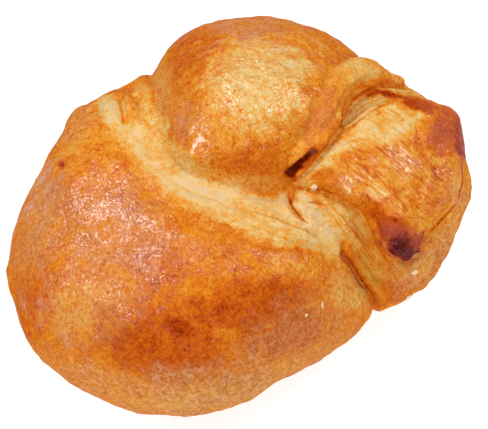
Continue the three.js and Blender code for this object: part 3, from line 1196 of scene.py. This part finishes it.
def crustMaterial():
    look = crustLook
    finish = Finish("bakedCrust")
    place = finish.objectPlace()
    flow = finish.painted("flow", "Vector")
    painted = finish.painted("bake")
    streaked = finish.painted("streak")
    wrinkled = finish.painted("wrinkled")
    gloss = finish.painted("gloss")
    patch = finish.noise(place, look["patchSize"], 3, 0.6)
    blotch = finish.noise(place, look["blotchSize"], 3, 0.8)
    curl = finish.noise(place, look["curlSize"], 1, 0.8)  # curly ridges of the dried egg wash
    grain = finish.noise(place, look["grainSize"], 1)
    streak = finish.stretched(flow, look["streakLength"], look["streakWidth"])
    streak = finish.noise(streak, 1.0, 3, 0.8)
    net = abs(finish.noise(place, look["netSize"], 1, 0.5) - 0.5)
    net = (1.2 - net * look["netFineness"]).clamped() * wrinkled * (1 - streaked).clamped()
    strand = finish.stretched(flow, look["strandLength"], look["strandWidth"])
    strand = abs(finish.noise(strand, 1.0, 1, 0.7) - 0.5)
    strand = (1.2 - strand * look["strandFineness"]).clamped() * wrinkled * streaked
    wrinkle = net + strand

    # how far the crust is baked, with less change where it is very pale or very dark
    uneven = (patch - 0.5) * look["patchAmount"] + (blotch - 0.5) * look["blotchAmount"]
    uneven = uneven - (curl - 0.5) * (1 - 0.6 * streaked) * look["curlAmount"]
    uneven = uneven + (grain - 0.5) * (1 - 0.6 * wrinkled) * look["grainAmount"]
    uneven = uneven + (streak - 0.5) * streaked * look["streakAmount"]
    uneven = uneven + net * look["netAmount"] + strand * look["strandAmount"]
    level = painted + uneven * (1.25 - 0.95 * painted) * (0.4 + 2 * painted).clamped()
    side = finish.painted("lineSide")
    line = (1.1 - side * side).clamped() * finish.painted("lineStrength") * (0.2 + 1.2 * blotch)
    level = level + line * (finish.painted("lineBake") - level)

    # baked colour, then dry crust, then burnt crust
    colour = finish.ramp(look["stops"], level)
    rough = 0.5 + (blotch + curl + grain - 1.5) * look["dryContrast"]
    dry = (finish.painted("dry") * (0.2 + 1.6 * patch)).clamped()
    colour = finish.blend(dry, colour, finish.ramp(look["dryStops"], rough))
    burnt = (finish.painted("burnt") * (1.8 - 0.9 * curl - 0.7 * blotch)).clamped()
    char = finish.ramp(look["burntStops"], burnt)
    colour = finish.blend((burnt * look["burntCover"]).clamped(), colour, char)

    # relief and shine
    pooled = (gloss - 1).clamped()
    height = curl * (1 - 0.5 * streaked) + blotch + grain * look["grainBump"]
    height = height + streak * streaked * look["streakBump"]
    height = height - line * look["lineBump"] - wrinkle * look["wrinkleBump"]
    bump = finish.bump(look["bumpHeight"], height * (1 - look["poolFlattens"] * pooled))
    finish.surface(
        Base_Color=colour,
        Roughness=look["dullRoughness"],
        Specular_IOR_Level=look["dullSpecular"],
        Normal=bump,
    )
    wash = finish.node("ShaderNodeBsdfPrincipled", {}, {
        "Base Color": colour,
        "Roughness": look["washRoughness"],
        "Specular IOR Level": look["washSpecular"],
        "Normal": bump,
    })
    shine = (0.35 + (patch - 0.4) * 4).clamped() * (0.3 + 1.4 * blotch)
    shine = (gloss * shine * (1 - look["wrinkleDulls"] * wrinkle)).clamped()
    shine = shine * (1 - look["poolDulls"] * pooled)
    finish.cover(shine, wash)
    return finish.material


crust = addObject("crust", dough.mesh)
dough.mesh.shade_smooth()
dough.mesh.materials.clear()
dough.mesh.materials.append(crustMaterial())
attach(crust, "root")
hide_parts("garlic_knot")
print("crust finished")


# Crumbs: loose flecks of salt and crumb that lie on the crust, and small pale specks that also stand for
# glints
crumbs = {
    "flecks": {
        # pixel, length and width in pixels, turn in degrees
        "throat chip": ((314, 187), (8, 6), 30),
        "under chip": ((414, 272), (9, 6), -35),
        "rim chip": ((408, 297), (7, 5), 10),
        "sliver": ((322, 305), (9, 3), 75),
        "speck": ((306, 315), (4, 3), 0),
    },
    "flatness": 0.55,
    "sunk": 0.25,  # share of a fleck's height that is sunk in the crust
    # pale specks: partly loose crumb and partly painted highlights, the tiny glints of the crust
    "dustAndGlintCount": 18,
    "dustAndGlintSize": (0.25 * mm, 0.5 * mm),
    "dustAndGlintShape": (0.6, 1),  # width against length
    "dustAndGlintSlope": 0.35,  # dust lies where the crust points up at least this far
    "unevenness": (0.8, 1.15),
    "seed": 7,
    "stops": [(0.3, (226, 182, 120)), (0.7, (246, 228, 196))],
    "grainSize": 0.5 * mm,
    "bumpHeight": 0.1 * mm,
}


def chip(rng, place, normal, length, width, turn):
    shape = bmesh.new()
    bmesh.ops.create_icosphere(shape, subdivisions=2, radius=0.5)
    for vert in shape.verts:
        vert.co *= rng.uniform(*crumbs["unevenness"])
    height = crumbs["flatness"] * width
    upright = normal.to_track_quat("Z", "Y").to_matrix().to_4x4()
    size = Matrix.Diagonal((length, width, height, 1))
    lift = Matrix.Translation(place + normal * height * (0.5 - crumbs["sunk"]))
    lay = lift @ upright @ Matrix.Rotation(turn, 4, "Z") @ size
    bmesh.ops.transform(shape, matrix=lay, verts=shape.verts)
    return shape


def makeCrumbs():
    rng = random.Random(crumbs["seed"])
    tree = dough.tree()
    whole = bmesh.new()
    wanted = []
    for (px, py), (length, width), turn in crumbs["flecks"].values():
        place, normal = photoHit(tree, px, py)[:2]
        wanted.append((place, normal, length * pixel, width * pixel, math.radians(turn)))
    upward = np.flatnonzero(dough.normal[:, 2] > crumbs["dustAndGlintSlope"])
    for _ in range(crumbs["dustAndGlintCount"]):
        i = int(upward[rng.randrange(len(upward))])
        length = rng.uniform(*crumbs["dustAndGlintSize"])
        width = length * rng.uniform(*crumbs["dustAndGlintShape"])
        wanted.append((Vector(dough.co[i]), Vector(dough.normal[i]), length, width, rng.uniform(0, 3)))
    part = bpy.data.meshes.new("crumbPart")
    for place, normal, length, width, turn in wanted:
        shape = chip(rng, place, normal, length, width, turn)
        shape.to_mesh(part)
        shape.free()
        whole.from_mesh(part)
    bpy.data.meshes.remove(part)
    mesh = bpy.data.meshes.new("crumbs")
    whole.to_mesh(mesh)
    whole.free()
    return mesh


def crumbMaterial():
    finish = Finish("paleCrumb")
    grain = finish.noise(finish.objectPlace(), crumbs["grainSize"], 3)
    colour = finish.ramp(crumbs["stops"], grain)
    bump = finish.bump(crumbs["bumpHeight"], grain, 0.7)
    finish.surface(Base_Color=colour, Roughness=0.35 + grain * 0.2, Normal=bump)
    return finish.material


flecks = addObject("crumbs", makeCrumbs())
flecks.data.shade_smooth()
flecks.data.materials.append(crumbMaterial())
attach(flecks, "root")
print("crumbs made")


# Floor and light
studio = {
    "floorSize": 6.0,
    "floorColour": linear(170, 170, 170),
    "floorRoughness": 0.8,
    "floorGlow": 0.78,
    "sky": 0.16,
    "lamps": {
        # place, size, power in watts
        "windowLamp": ((-0.13, 0.3, 0.54), 0.175, 1.5),
        "rightLamp": ((0.37, 0.09, 0.48), 0.15, 1.22),
        "leftLamp": ((-0.43, -0.145, 0.415), 0.155, 1.1),
        "frontLamp": ((0.1, -0.8, 0.64), 0.3, 4.3),
    },
}


def makeFloor():
    mesh = bpy.data.meshes.new("floor")
    half = studio["floorSize"] / 2
    corners = [(-half, -half, 0), (half, -half, 0), (half, half, 0), (-half, half, 0)]
    mesh.from_pydata(corners, [], [(0, 1, 2, 3)])
    floor = addObject("floor", mesh)
    finish = Finish("paleFloor")
    finish.surface(
        Base_Color=studio["floorColour"],
        Roughness=studio["floorRoughness"],
        Emission_Color=(1, 1, 1, 1),
        Emission_Strength=studio["floorGlow"],
    )
    mesh.materials.append(finish.material)


def makeLamp(name, place, size, power):
    data = bpy.data.lights.new(name, "AREA")
    data.size = size
    data.energy = power
    lamp = addObject(name, data)
    lamp.location = place
    lamp.rotation_euler = (Vector(view["target"]) - lamp.location).to_track_quat("-Z", "Y").to_euler()


makeFloor()
for lampName, (lampPlace, lampSize, lampPower) in studio["lamps"].items():
    makeLamp(lampName, lampPlace, lampSize, lampPower)
world = bpy.data.worlds.new("sky")
world.use_nodes = True
sky = world.node_tree.nodes["Background"].inputs
sky["Strength"].default_value = studio["sky"]
sky["Color"].default_value = (1, 1, 1, 1)
scene.world = world
scene.view_settings.view_transform = "Standard"
print("floor and lights set")
